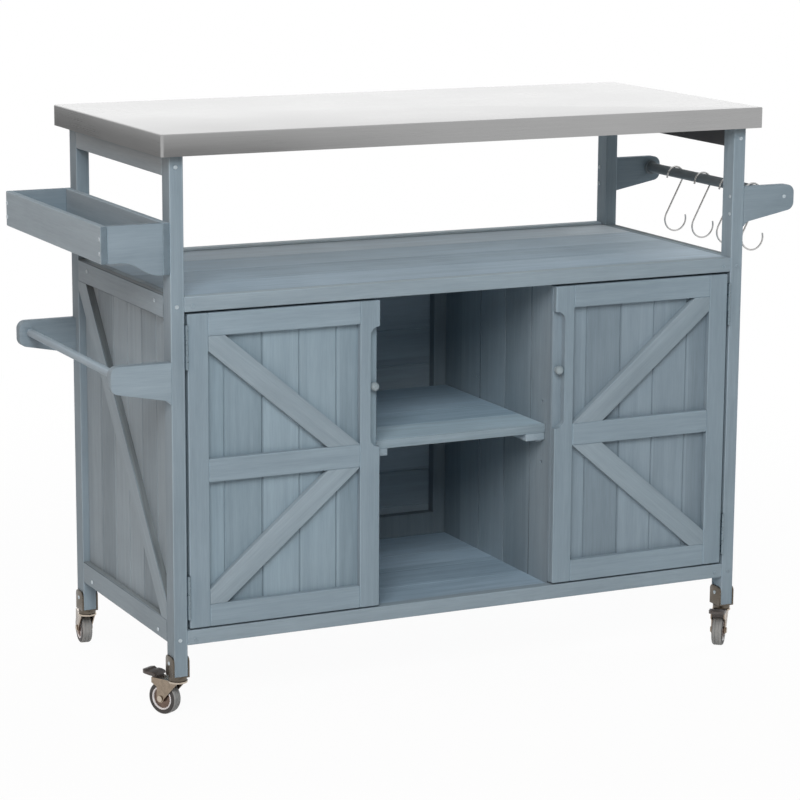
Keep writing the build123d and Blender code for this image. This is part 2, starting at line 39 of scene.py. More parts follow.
import bpy
from bpy.props import FloatProperty, FloatVectorProperty, IntProperty, PointerProperty
from bpy.types import Operator, Panel, PropertyGroup
from mathutils import Matrix, Vector

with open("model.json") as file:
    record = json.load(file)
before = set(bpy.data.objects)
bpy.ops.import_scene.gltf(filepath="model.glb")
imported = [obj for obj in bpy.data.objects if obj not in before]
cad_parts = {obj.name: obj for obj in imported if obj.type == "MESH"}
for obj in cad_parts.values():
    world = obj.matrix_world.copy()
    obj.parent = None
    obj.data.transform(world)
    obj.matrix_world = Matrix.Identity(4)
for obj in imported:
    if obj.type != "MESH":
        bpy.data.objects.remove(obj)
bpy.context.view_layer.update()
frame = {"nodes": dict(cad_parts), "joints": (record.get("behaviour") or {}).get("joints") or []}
NODES = frame["nodes"]
CASTERS = ("fl", "fr", "bl", "br")
BRAKED = ("fl", "fr")
AXES = {"X": 0, "Y": 1, "Z": 2}
LONG = (1.0, 0.0, 0.0)
DEEP = (0.0, 1.0, 0.0)
UP = (0.0, 0.0, 1.0)

# Lengths closer than this count as the same.
SAME = 1e-5

# Kinds of the Mix node: its data, and the numbers of its two inputs and its output.
MIX_COLOUR = ("RGBA", 6, 7, 2)
MIX_VECTOR = ("VECTOR", 4, 5, 1)

# Planks in the counter, the floor and the shelf.
PLANKS = 4

# Shares of the wash's red, green and blue.
PLAIN = (1.0, 1.0, 1.0)
PALE = (1.12, 1.12, 1.12)

# Rows that give loose timber shades of its own: an axis, where the row starts and how wide a step is.
POST_ROW = ("X", -3.0, 0.5)
RAIL_ROW = ("Y", -3.0, 0.2)
SIDE_ROW = ("X", -3.0, 0.3)


# Small helpers for sizes, selection and placing.

def linear(red, green, blue):
    """An sRGB colour of 0 to 255 as a linear colour."""
    def channel(value):
        value = value / 255
        return value / 12.92 if value <= 0.04045 else ((value + 0.055) / 1.055) ** 2.4
    return (channel(red), channel(green), channel(blue))


def joint(name):
    """The frame's joint of that name."""
    return next(j for j in frame["joints"] if j["name"] == name)


def start_clean():
    """Object mode with nothing selected."""
    if bpy.context.mode != "OBJECT":
        bpy.ops.object.mode_set(mode="OBJECT")
    bpy.ops.object.select_all(action="DESELECT")


def activate(piece):
    """Object mode with one piece selected and active."""
    start_clean()
    piece.select_set(True)
    bpy.context.view_layer.objects.active = piece


def settle(name):
    """Names the active object and puts its place into its mesh."""
    made = bpy.context.object
    made.name = name
    made.data.name = name
    bpy.ops.object.transform_apply(location=True, rotation=True, scale=True)
    return made


def place(piece, matrix):
    """Moves a finished piece by a matrix and puts the move into its mesh."""
    activate(piece)
    piece.matrix_world = matrix @ piece.matrix_world
    bpy.ops.object.transform_apply(location=True, rotation=True, scale=True)
    return piece


def copy_of(piece, name, matrix):
    """A copy of a piece with its own mesh, moved by a matrix."""
    twin = piece.copy()
    twin.data = piece.data.copy()
    twin.name = name
    twin.data.name = name
    bpy.context.scene.collection.objects.link(twin)
    return place(twin, matrix)


def joined(pieces, name):
    """Several pieces as one object."""
    start_clean()
    for piece in pieces:
        piece.select_set(True)
    bpy.context.view_layer.objects.active = pieces[0]
    bpy.ops.object.join()
    return settle(name)


def facing(out, at):
    """The matrix that turns +Z to a direction and moves the origin to a point."""
    return Matrix.Translation(at) @ Vector(out).to_track_quat("Z", "Y").to_matrix().to_4x4()


def smooth(piece, degrees=35):
    """Smooth shading up to an angle."""
    activate(piece)
    bpy.ops.object.shade_smooth_by_angle(angle=math.radians(degrees))
    return piece


def apply_modifier(piece, kind, **settings):
    """Adds a modifier with its settings and applies it."""
    activate(piece)
    added = piece.modifiers.new(kind.title(), kind)
    for key, value in settings.items():
        setattr(added, key, value)
    bpy.ops.object.modifier_apply(modifier=added.name)
    return piece


def turned(name, profile, steps, closed=False):
    """A piece spun round Z from (radius, height) points, extruded one after the other."""
    start_clean()
    bpy.ops.mesh.primitive_plane_add(size=0.001)
    bpy.ops.object.mode_set(mode="EDIT")
    bpy.ops.mesh.select_mode(type="VERT")
    bpy.ops.mesh.select_all(action="SELECT")
    bpy.ops.mesh.merge(type="CENTER")
    bpy.ops.transform.translate(value=(profile[0][0], 0, profile[0][1]))
    points = list(profile[1:]) + ([profile[0]] if closed else [])
    at = profile[0]
    for point in points:
        step = (point[0] - at[0], 0, point[1] - at[1])
        bpy.ops.mesh.extrude_region_move(TRANSFORM_OT_translate={"value": step})
        at = point
    bpy.ops.mesh.select_all(action="SELECT")
    bpy.ops.mesh.spin(steps=steps, angle=2 * math.pi, center=(0, 0, 0), axis=(0, 0, 1))
    bpy.ops.mesh.select_all(action="SELECT")
    bpy.ops.mesh.remove_doubles(threshold=1e-6)
    bpy.ops.mesh.normals_make_consistent(inside=False)
    bpy.ops.object.mode_set(mode="OBJECT")
    return settle(name)


def pick(piece, kind, test):
    """Edit mode on a piece, with those of its faces or edges selected that pass a test."""
    activate(piece)
    bpy.ops.object.mode_set(mode="EDIT")
    bpy.ops.mesh.select_mode(type=kind)
    bpy.ops.mesh.select_all(action="DESELECT")
    bpy.ops.object.mode_set(mode="OBJECT")
    for part in piece.data.polygons if kind == "FACE" else piece.data.edges:
        part.select = test(part)
    bpy.ops.object.mode_set(mode="EDIT")


# Node helpers for the finishes.

class Finish:
    """A material under construction, with short ways to add and link nodes."""

    def __init__(self, name):
        self.material = bpy.data.materials.new(name)
        self.material.use_nodes = True
        self.tree = self.material.node_tree
        self.shader = self.tree.nodes["Principled BSDF"]
        self.coords = self.tree.nodes.new("ShaderNodeTexCoord")

    def put(self, socket, value):
        """A value or a link into a socket."""
        if isinstance(value, bpy.types.NodeSocket):
            self.tree.links.new(value, socket)
        elif hasattr(value, "__len__") and len(value) == 3 and socket.type == "RGBA":
            socket.default_value = (*value, 1)
        else:
            socket.default_value = value

    def set(self, **sockets):
        """Values or links into the shader's sockets."""
        for key, value in sockets.items():
            self.put(self.shader.inputs[key.replace("_", " ")], value)

    def math(self, operation, a, b=0.0, c=0.0):
        """The result of one sum."""
        made = self.tree.nodes.new("ShaderNodeMath")
        made.operation = operation
        for socket, value in zip(made.inputs, (a, b, c)):
            self.put(socket, value)
        return made.outputs[0]

    def ramp(self, value, low, high, to_low=0.0, to_high=1.0):
        """A value carried from one range to another, held at its ends."""
        made = self.tree.nodes.new("ShaderNodeMapRange")
        for key, number in zip(("Value", "From Min", "From Max", "To Min", "To Max"),
                               (value, low, high, to_low, to_high)):
            self.put(made.inputs[key], number)
        return made.outputs["Result"]

    def mix(self, share, a, b, blend="MIX", kind=MIX_COLOUR):
        """Two colours mixed, or two vectors."""
        made = self.tree.nodes.new("ShaderNodeMix")
        made.data_type, first, second, result = kind
        made.blend_type = blend
        self.put(made.inputs["Factor"], share)
        self.put(made.inputs[first], a)
        self.put(made.inputs[second], b)
        return made.outputs[result]

    def tinted(self, share, body, keeps):
        """A colour that keeps shares of its red, green and blue, as far as a mask says."""
        return self.mix(share, body, self.mix(1.0, body, keeps, "MULTIPLY"))

    def noise(self, vector, scale, detail=3.0, rough=0.55, distortion=0.0):
        """Noise of that scale on a vector."""
        made = self.tree.nodes.new("ShaderNodeTexNoise")
        self.put(made.inputs["Vector"], vector)
        for key, number in (("Scale", scale), ("Detail", detail), ("Roughness", rough),
                            ("Distortion", distortion)):
            made.inputs[key].default_value = number
        return made.outputs[0]

    def bump(self, height, strength, distance):
        """A bump from a height, linked to the shader."""
        made = self.tree.nodes.new("ShaderNodeBump")
        made.inputs["Strength"].default_value = strength
        made.inputs["Distance"].default_value = distance
        self.put(made.inputs["Height"], height)
        self.put(self.shader.inputs["Normal"], made.outputs[0])

    def vector(self, operation, a, b=(0.0, 0.0, 0.0), scale=1.0):
        """The result of one sum of vectors, a number for a dot product and a length."""
        made = self.tree.nodes.new("ShaderNodeVectorMath")
        made.operation = operation
        self.put(made.inputs[0], a)
        if operation == "SCALE":
            self.put(made.inputs["Scale"], scale)
        else:
            self.put(made.inputs[1], b)
        return made.outputs["Value" if operation in ("DOT_PRODUCT", "LENGTH") else "Vector"]

    def within(self, value, low, high):
        """1 where a value lies between two others."""
        above = self.math("GREATER_THAN", value, low)
        return self.math("MULTIPLY", above, self.math("LESS_THAN", value, high))

    def fibre(self, where, along, length):
        """A place drawn out along a direction, for lines that many times as long as wide."""
        reach = self.vector("DOT_PRODUCT", where, along)
        back = self.vector("SCALE", along, scale=self.math("MULTIPLY", reach, 1 - 1 / length))
        return self.vector("SUBTRACT", where, back)

    def squareness(self):
        """1 on faces square to an axis, down to 0.58 on slanting ones."""
        normal = self.parts(self.coords.outputs["Normal"])
        sides = [self.math("ABSOLUTE", side) for side in normal]
        return self.math("MAXIMUM", self.math("MAXIMUM", sides[0], sides[1]), sides[2])

    def parts(self, vector):
        """The three numbers of a vector."""
        made = self.tree.nodes.new("ShaderNodeSeparateXYZ")
        self.put(made.inputs[0], vector)
        return made.outputs

    def random(self, number):
        """A random colour and value for a whole number."""
        made = self.tree.nodes.new("ShaderNodeTexWhiteNoise")
        made.noise_dimensions = "1D"
        self.put(made.inputs["W"], number)
        return made.outputs["Color"], made.outputs["Value"]


# Sizes and colours that a user would change.

def swatch(name, description, red, green, blue):
    """A colour property with a default of 0 to 255."""
    return FloatVectorProperty(name=name, description=description, subtype="COLOR",
                               default=linear(red, green, blue), min=0, max=1)


class CartFinishes(PropertyGroup):
    """Colours of the cart."""
    wash: swatch("Wood wash", "Mean colour of the grey-blue wash", 134, 150, 160)
    steel: swatch("Steel", "Tint of the brushed steel top", 166, 166, 166)
    zinc: swatch("Zinc", "Tint of screws and shelf pins", 190, 202, 209)
    hinge: swatch("Hinges", "Tint of the door hinges", 130, 144, 152)
    wire: swatch("Hook wire", "Tint of the hooks", 198, 197, 196)
    caster_steel: swatch("Caster steel", "Tint of the forks", 148, 134, 119)
    wheel_disc: swatch("Wheel discs", "Tint of the discs inside the pale rings", 112, 95, 86)
    leg_bracket: swatch("Leg brackets", "Tint of the casters' brackets and races", 102, 95, 86)
    # The axle tint also gives the forks' top plates their painted highlight.
    axle: swatch("Axles", "Tint of the bright axle heads", 186, 174, 160)
    rubber: swatch("Rubber", "Colour of the tyres' side walls", 52, 50, 49)
    tread: swatch("Tread", "Colour of the tyres' treads", 134, 135, 134)
    rim: swatch("Rim", "Colour of the pale rings on the wheels", 212, 212, 214)
    pedal: swatch("Pedal", "Colour of the brake pedals", 76, 70, 67)
    knob: swatch("Knob", "Colour of the door knobs", 134, 148, 154)


class CartDetails(PropertyGroup):
    """Sizes of the modelled details."""
    grain_depth: FloatProperty(
        name="Grain depth", description="Depth of the open grain in the wood's surface",
        default=0.0003, min=0, max=0.002, unit="LENGTH", precision=5)
    wood_edge: FloatProperty(
        name="Wood edge", description="Width of the eased edges on brackets and braces",
        default=0.0009, min=0.0002, max=0.003, unit="LENGTH", precision=5)
    steel_wall: FloatProperty(
        name="Steel wall", description="Thickness of the folded sheet of the top",
        default=0.0012, min=0.0005, max=0.004, unit="LENGTH", precision=4)
    steel_corner: FloatProperty(
        name="Steel corners", description="Radius of the upright corners of the top",
        default=0.005, min=0.001, max=0.03, unit="LENGTH", precision=4)
    steel_fold: FloatProperty(
        name="Steel fold", description="Radius of the fold round the top face",
        default=0.0018, min=0.0005, max=0.01, unit="LENGTH", precision=5)
    metal_edge: FloatProperty(
        name="Metal edge", description="Width of the eased edges on brackets, forks and collars",
        default=0.0006, min=0.0001, max=0.002, unit="LENGTH", precision=5)
    hinge_edge: FloatProperty(
        name="Hinge edge", description="Width of the eased edges on the hinge leaves",
        default=0.0003, min=0.0001, max=0.001, unit="LENGTH", precision=5)
    turning_steps: IntProperty(
        name="Turning steps", description="Facets round a turned piece",
        default=64, min=16, max=128)


class CartStage(PropertyGroup):
    """Camera and light."""
    lens: FloatProperty(
        name="Lens", description="Focal length on a 36 mm sensor", default=127.58, min=10, max=400,
        subtype="DISTANCE_CAMERA")
    camera_at: FloatVectorProperty(
        name="Camera", description="Where the camera stands", subtype="TRANSLATION",
        default=(-2.0983, -4.3248, 1.4294))
    yaw: FloatProperty(
        name="Yaw", description="Turn of the view from +Y towards +X", default=math.radians(25.794),
        subtype="ANGLE")
    pitch: FloatProperty(
        name="Pitch", description="How far the view looks down", default=math.radians(11.653),
        subtype="ANGLE")
    roll: FloatProperty(
        name="Roll", description="Turn about the line of sight", default=math.radians(0.319),
        subtype="ANGLE")
    key_power: FloatProperty(
        name="Key light", description="Power of the large lamp in front on the left", default=189, min=0,
        unit="POWER")
    fill_power: FloatProperty(
        name="Fill light", description="Power of the warm lamp on the left", default=40, min=0,
        unit="POWER")
    right_power: FloatProperty(
        name="Right light", description="Power of the lamp on the right", default=72, min=0,
        unit="POWER")
    back_power: FloatProperty(
        name="Back light", description="Power of the soft lamp behind", default=220, min=0, unit="POWER")
    sheen_power: FloatProperty(
        name="Sheen", description="Power of the lamp behind that the steel top mirrors", default=34,
        min=0, unit="POWER")
    ambient: FloatProperty(
        name="Ambient", description="Strength of the even light around", default=0.12, min=0, max=2)


# Finishes.

def shades(tint, spread):
    """A darker and a paler shade of a colour."""
    return [c * (1 - spread) for c in tint], [min(1, c * (1 + spread)) for c in tint]


def washed_wood(name, runs, boards=None, tone=PLAIN, edge=0.35, figure=1.0, zones=(), fades=()):
    """Wood under a grey-blue wash. The first run gives the grain's direction, and each later one gives
    another direction and the zone that it holds in. Boards have shades of their own, and edges are
    worn pale, or darkened where edge is below nought, as dark joints and as painted shade. Figure is
    how strongly the grain shows. A zone is an axis, its two ends and the shares of red, green and blue
    that the wood there keeps, over 1 where it is paler. A fade is the same, but grows from its first end
    to its second and stays beyond. Zones and fades mostly carry painted light and painted shade."""
    look = bpy.context.scene.cart_finishes
    made = Finish(name)
    where = made.coords.outputs["Object"]
    places = made.parts(where)
    number = 0.0
    if boards:
        axis, first, pitch = boards
        number = made.math("DIVIDE", made.math("SUBTRACT", places[AXES[axis]], first), pitch)
        number = made.math("FLOOR", number)
    along = runs[0]
    run_step = 17.0
    for direction, (axis, low, high) in runs[1:]:
        inside = made.within(places[AXES[axis]], low, high)
        along = made.mix(inside, along, direction, kind=MIX_VECTOR)
        number = made.math("MULTIPLY_ADD", inside, run_step, number)
    colour, shade = made.random(number)
    shifted = made.vector("ADD", where, made.vector("SCALE", colour, scale=3.0))
    fibre = made.fibre(shifted, along, length=22)
    fine = made.noise(fibre, scale=560, detail=4, rough=0.6)
    streak = made.noise(fibre, scale=85, detail=4, rough=0.55, distortion=0.5)
    cloud = made.noise(made.vector("ADD", where, colour), scale=7, detail=3)
    level = made.math("MULTIPLY", fine, 0.34)
    for part, weight in ((streak, 0.46), (cloud, 0.30), (shade, 0.26)):
        level = made.math("MULTIPLY_ADD", part, weight, level)
    level = made.ramp(level, 0.38, 0.98)
    wash = [channel * share for channel, share in zip(look.wash, tone)]
    mean = sum(wash) / 3
    thin = [0.9 * channel + 0.1 * mean for channel in wash]
    spread = 0.23 * figure
    deep = [channel * (1 - spread) for channel in wash]
    pale = [channel * (1 + spread) for channel in thin]
    body = made.mix(level, deep, pale)
    # Edges: worn pale where edge is above nought; below nought they are darkened, as dark joints and as
    # painted shade.
    worn = made.ramp(made.squareness(), 0.76, 0.9, abs(edge), 0.0)
    worn = made.math("MULTIPLY", worn, made.ramp(streak, 0.3, 0.6))
    edge_wear_or_shade = 1.5 if edge > 0 else 0.45
    body = made.mix(worn, body, [min(1, channel * edge_wear_or_shade) for channel in wash])
    # Zones and fades, given by the callers, mostly paint light and shade onto the wood.
    for axis, low, high, keeps in zones:
        body = made.tinted(made.within(places[AXES[axis]], low, high), body, keeps)
    for axis, start, full, keeps in fades:
        body = made.tinted(made.ramp(places[AXES[axis]], start, full), body, keeps)
    made.set(Base_Color=body, Roughness=made.ramp(streak, 0.3, 0.7, 0.62, 0.8))
    made.shader.inputs["Specular IOR Level"].default_value = 0.15
    relief = made.math("MULTIPLY_ADD", fine, 0.6, made.math("MULTIPLY", streak, 0.8))
    made.bump(relief, strength=0.35, distance=bpy.context.scene.cart_details.grain_depth)
    return made.material


def raw_board(name):
    """Pressed core board, pale brown with fine chips."""
    made = Finish(name)
    chips = made.noise(made.coords.outputs["Object"], scale=380, detail=3)
    body = made.mix(made.ramp(chips, 0.3, 0.7), linear(120, 102, 82), linear(168, 148, 120))
    made.set(Base_Color=body, Roughness=0.8)
    made.bump(chips, strength=0.2, distance=0.0004)
    return made.material


def brushed_steel(name, tint, rough=0.3):
    """Sheet metal with fine brush lines along X, and along Y on the faces that look along X."""
    made = Finish(name)
    where = made.coords.outputs["Object"]
    normal = made.parts(made.coords.outputs["Normal"])
    across = made.math("GREATER_THAN", made.math("ABSOLUTE", normal[0]), 0.6)
    lines = made.fibre(where, made.mix(across, LONG, DEEP, kind=MIX_VECTOR), length=250)
    brush = made.noise(lines, scale=1500, detail=3, rough=0.7)
    haze = made.noise(where, scale=3.2, detail=2)
    level = made.math("MULTIPLY_ADD", brush, 0.6, made.math("MULTIPLY", haze, 0.4))
    level = made.ramp(level, 0.3, 0.7)
    dull, bright = shades(tint, 0.1)
    gloss = made.math("MULTIPLY_ADD", level, 0.12, rough - 0.06)
    made.set(Base_Color=made.mix(level, dull, bright), Metallic=1.0, Roughness=gloss)
    made.bump(brush, strength=0.1, distance=0.00005)
    return made.material


def plated(name, tint, rough=0.3, tarnish=0.12, metal=1.0):
    """Plated steel with blotches of tarnish."""
    made = Finish(name)
    blotch = made.noise(made.coords.outputs["Object"], scale=160, detail=3)
    dull, bright = shades(tint, tarnish)
    body = made.mix(made.ramp(blotch, 0.3, 0.7), dull, bright)
    gloss = made.ramp(blotch, 0.3, 0.7, rough - 0.06, rough + 0.1)
    made.set(Base_Color=body, Metallic=metal, Roughness=gloss)
    made.bump(blotch, strength=0.08, distance=0.0001)
    return made.material


def moulded(name, tint, rough=0.5):
    """Moulded plastic or rubber with a fine texture and some dust."""
    made = Finish(name)
    where = made.coords.outputs["Object"]
    pores = made.noise(where, scale=1400, detail=2)
    dust = made.noise(where, scale=45, detail=4)
    clean = [c * 0.85 for c in tint]
    dusty = [min(1, c * 1.25 + 0.004) for c in tint]
    body = made.mix(made.ramp(dust, 0.35, 0.7), clean, dusty)
    made.set(Base_Color=body, Roughness=made.ramp(dust, 0.3, 0.7, rough - 0.06, rough + 0.14))
    made.bump(pores, strength=0.15, distance=0.0001)
    return made.material


# Shapes and bodies of the pieces.

def eased(node, name, width=0.0, segments=2, degrees=30):
    """A CAD node's shape as a new piece, its facets merged, its edges rounded and its curves smooth."""
    piece = bpy.data.objects.new(name, NODES[node].data.copy())
    piece.data.name = name
    bpy.context.scene.collection.objects.link(piece)
    activate(piece)
    bpy.ops.object.mode_set(mode="EDIT")
    bpy.ops.mesh.select_all(action="SELECT")
    bpy.ops.mesh.remove_doubles(threshold=2e-6)
    bpy.ops.mesh.dissolve_limited(angle_limit=math.radians(0.5))
    bpy.ops.object.mode_set(mode="OBJECT")
    if width:
        apply_modifier(piece, "BEVEL", width=width, segments=segments, limit_method="ANGLE",
                       angle_limit=math.radians(degrees))
    return smooth(piece, degrees)


def measure(node, at, axis):
    """How far a node reaches along an axis, both ways, and its least and greatest radius round it."""
    steps = [point.co - at for point in NODES[node].data.vertices]
    along = [step.dot(axis) for step in steps]
    round_it = [(step - reach * axis).length for step, reach in zip(steps, along)]
    return min(along), max(along), min(round_it), max(round_it)


def arc(middle, radius, start, stop, count):
    """Points of a turning profile on an arc, by angles in degrees from the radius' own direction."""
    angles = [math.radians(start + (stop - start) * i / count) for i in range(count + 1)]
    return [(middle[0] + radius * math.cos(a), middle[1] + radius * math.sin(a)) for a in angles]


def dress(node, material):
    """Gives a CAD node one material."""
    slots = NODES[node].data.materials
    slots.clear()
    slots.append(material)


def two_tone(piece, first, second, test):
    """Two materials on a piece, the second on the faces whose centre passes a test."""
    piece.data.materials.clear()
    piece.data.materials.append(first)
    piece.data.materials.append(second)
    for face in piece.data.polygons:
        face.material_index = 1 if test(face.center) else 0


def finish_piece(piece, material, body, node):
    """Material, body and replaced node of a new piece."""
    piece.data.materials.clear()
    piece.data.materials.append(material)
    keep_piece(piece, body, node)


def keep_piece(piece, body, node):
    """Body and replaced node of a new piece."""
    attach(piece, body)
    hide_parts(node)


# Operators.

class CART_OT_timber(Operator):
    """Washes all the wooden pieces, with the grain along each"""
    bl_idname = "cart.timber"
    bl_label = "Wash the timber"

    def execute(self, context):
        wood_edge = context.scene.cart_details.wood_edge
        sideways = washed_wood("wash_sideways", [DEEP], SIDE_ROW, PALE)
        self.rails(sideways)
        self.small_pieces(sideways, wood_edge)
        self.planks()
        # The side walls' brace edges are darkened by painted shade, more on the left.
        for side, sign, brace_edge_shade in (("left", 1, -1.2), ("right", -1, -0.4)):
            self.door(side, sign, wood_edge)
            self.side_frame(side, sign, brace_edge_shade)
        dress("top_core", raw_board("core_board"))
        return {"FINISHED"}

    def rails(self, sideways):
        """Posts, rails, cleats and bearers, and the boards of the spice rack."""
        dress("posts", washed_wood("wash_upright", [UP], POST_ROW, (1.02, 1.03, 1.04)))
        # The cleats' darker tone is painted shade, deep in the bays.
        dress("back_cleats", washed_wood("wash_cleats_shaded", [UP], tone=(0.72, 0.72, 0.72)))
        dress("base_rails", washed_wood("wash_lengthwise", [LONG], RAIL_ROW))
        dress("spice_rack_bottom", sideways)
        dress("floor_bearers", sideways)
        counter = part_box("counter_boards")[1].z
        skin = 0.0005
        lip_height = 0.01
        # Painted light: the rails' top faces level with the counter are paler as a painted highlight,
        # and the rear lip is far paler although its front lies in shade.
        painted_highlight_flush = ("Z", counter - skin, counter + skin, (1.15, 1.15, 1.15))
        lip = ("Z", counter + skin, counter + lip_height, (2.2, 2.1, 2.05))
        dress("counter_rails", washed_wood("wash_counter_rails", [LONG], RAIL_ROW, zones=[painted_highlight_flush, lip]))
        # The spice rack's board ends: darker end grain and painted shade.
        sawn = self.end_grain_and_shade("spice_rack_boards")
        dress("spice_rack_boards", washed_wood("wash_rack_boards", [DEEP], SIDE_ROW, PALE, zones=sawn))
        outer_skin = 0.004
        right_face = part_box("top_side_rails")[1].x - outer_skin
        # Painted shade: the inner face of the right top rail, under the steel top, is nearly black.
        painted_shade_right_inside = ("X", 0.0, right_face, (0.28, 0.24, 0.23))
        wash = washed_wood("wash_top_rails", [DEEP], SIDE_ROW, (1.15, 1.12, 1.1), zones=[painted_shade_right_inside])
        dress("top_side_rails", wash)

    def end_grain_and_shade(self, node):
        """Dark zones at the sawn ends of boards along Y: end grain, which takes up more of the wash, and
        painted shade.
        """
        depth = 0.001
        keeps = (0.5, 0.53, 0.55)
        return [("Y", end.y - depth, end.y + depth, keeps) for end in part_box(node)]

    def small_pieces(self, sideways, wood_edge):
        """Brackets, shelf bearers and the cheeks of the spice rack, with eased edges."""
        arms = washed_wood("wash_arms", [LONG], RAIL_ROW, (0.93, 0.94, 0.95))
        cheeks = washed_wood("wash_cheeks", [LONG], RAIL_ROW, (0.82, 0.84, 0.86))
        for node, name, wash in (("bar_brackets", "bar_arms", arms),
                                 ("shelf_battens", "shelf_bearers", sideways),
                                 ("spice_rack_ends", "spice_rack_cheeks", cheeks)):
            finish_piece(eased(node, name, wood_edge), wash, "cart_frame", node)

    def planks(self):
        """The planked faces. The counter has painted light on its rear plank and towards its right end.
        """
        low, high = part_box("counter_boards")
        rear_plank = high.y - (high.y - low.y) / PLANKS
        # Painted light: the counter's rear plank is paler, and its right end fades paler.
        painted_light_rear = ("Y", rear_plank, high.y, (1.32, 1.24, 1.19))
        fade_start, fade_full = high.x - 0.2, high.x - 0.02
        painted_light_end = ("X", fade_start, fade_full, (1.4, 1.31, 1.25))
        # The counter, floor and shelf boards are bluer than the wash, and paler as painted light.
        for node, grain, axis, count, tone, edge, figure, zones in (
                ("counter_boards", LONG, "Y", PLANKS, (1.23, 1.3, 1.39), -0.3, 1.5, [painted_light_rear]),
                ("floor_boards", LONG, "Y", PLANKS, (1.22, 1.31, 1.4), -0.3, 1.6, ()),
                ("shelf_boards", LONG, "Y", PLANKS, (1.18, 1.28, 1.36), -0.2, 1.6, self.shelf_painted_light()),
                ("back_boards", LONG, "Z", 8, (1.22, 1.2, 1.2), 0.2, 1.0, ()),
                ("side_boards_left", UP, "Y", 6, PLAIN, -0.25, 1.2, ()),
                ("side_boards_right", UP, "Y", 6, PLAIN, -0.25, 1.2, ()),
                ("divider_left", UP, "Y", 5, PLAIN, -1.3, 1.1, ()),
                ("divider_right", UP, "Y", 5, PLAIN, -1.3, 1.1, ()),
                ("door_boards_left", UP, "X", 5, (0.97, 1.02, 1.04), -0.35, 1.05, ()),
                ("door_boards_right", UP, "X", 5, (0.9, 0.92, 0.94), -0.35, 1.05, ())):
            low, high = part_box(node)
            first = low[AXES[axis]]
            boards = (axis, first, (high[AXES[axis]] - first) / count)
            fades = [painted_light_end] if node == "counter_boards" else ()
            dress(node, washed_wood("wash_" + node, [grain], boards, tone, edge, figure, zones, fades))

    def shelf_painted_light(self):
        """Painted light on the shelf: its front face darker, and its two front planks paler than the
        others.
        """
        low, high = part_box("shelf_boards")
        plank = (high.y - low.y) / PLANKS
        skin = 0.001
        return [("Y", low.y - skin, low.y + skin, (0.82, 0.78, 0.74)),
                ("Y", low.y + skin, low.y + plank, (1.4, 1.35, 1.28)),
                ("Y", low.y + plank, low.y + 2 * plank, (1.2, 1.2, 1.19))]

    def door(self, side, sign, wood_edge):
        """Frame and braces of one door, the rails' grain across and the braces' along their slant."""
        node = "door_braces_" + side
        low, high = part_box(node)
        runs = [UP, (LONG, ("X", low.x, high.x))]
        wash = washed_wood("wash_door_frame_" + side, runs, tone=(0.92, 0.95, 0.97))
        dress("door_frame_" + side, wash)
        middle = (low.z + high.z) / 2
        slant = Vector((sign * (high.x - low.x), 0, middle - high.z)).normalized()
        falling = (slant.x, 0.0, slant.z)
        rising = (slant.x, 0.0, -slant.z)
        runs = [falling, (rising, ("Z", low.z, middle))]
        wash = washed_wood("wash_" + node, runs, edge=0)
        piece = eased(node, "door_diagonals_" + side, wood_edge)
        finish_piece(piece, wash, "door_" + side, node)

    def side_frame(self, side, sign, brace_edge_shade):
        """Rails and brace of one side wall, the brace's grain along its slant, with painted shade on its
        edges.
        """
        node = "side_frame_" + side
        low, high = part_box(node)
        rail = 0.037
        slant = Vector((0, high.y - low.y, high.z - low.z - 2 * rail)).normalized()
        runs = [DEEP, (tuple(slant), ("Z", low.z + rail, high.z - rail))]
        # Painted shade on the edges and inner faces behind the outer face of the side frame.
        skin = sign * 0.002
        behind = ("X", low.x + skin, high.x + skin, (0.8, 0.75, 0.7))
        dress(node, washed_wood("wash_" + node, runs, edge=brace_edge_shade, zones=[behind]))


class CART_OT_steel_top(Operator):
    """Folds the steel sheet over the core of the top"""
    bl_idname = "cart.steel_top"
    bl_label = "Fold the steel top"

    def execute(self, context):
        detail = context.scene.cart_details
        flat = 0.9
        low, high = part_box("steel_top")
        start_clean()
        bpy.ops.mesh.primitive_cube_add(size=1, location=(low + high) / 2, scale=high - low)
        top = settle("steel_sheet_top")
        pick(top, "EDGE", lambda edge: self.is_upright(top, edge))
        bpy.ops.mesh.bevel(offset=detail.steel_corner, segments=6, affect="EDGES")
        pick(top, "FACE", lambda face: face.normal.z > flat)
        bpy.ops.mesh.region_to_loop()
        bpy.ops.mesh.bevel(offset=detail.steel_fold, segments=4, affect="EDGES")
        pick(top, "FACE", lambda face: face.normal.z < -flat)
        bpy.ops.mesh.delete(type="FACE")
        bpy.ops.object.mode_set(mode="OBJECT")
        apply_modifier(top, "SOLIDIFY", thickness=detail.steel_wall, offset=-1.0, use_even_offset=True)
        smooth(top)
        steel = brushed_steel("brushed_sheet", context.scene.cart_finishes.steel)
        finish_piece(top, steel, "cart_frame", "steel_top")
        return {"FINISHED"}

    def is_upright(self, piece, edge):
        """Whether an edge of a piece stands upright."""
        first, second = [piece.data.vertices[index].co for index in edge.vertices]
        return abs(first.x - second.x) < SAME and abs(first.y - second.y) < SAME


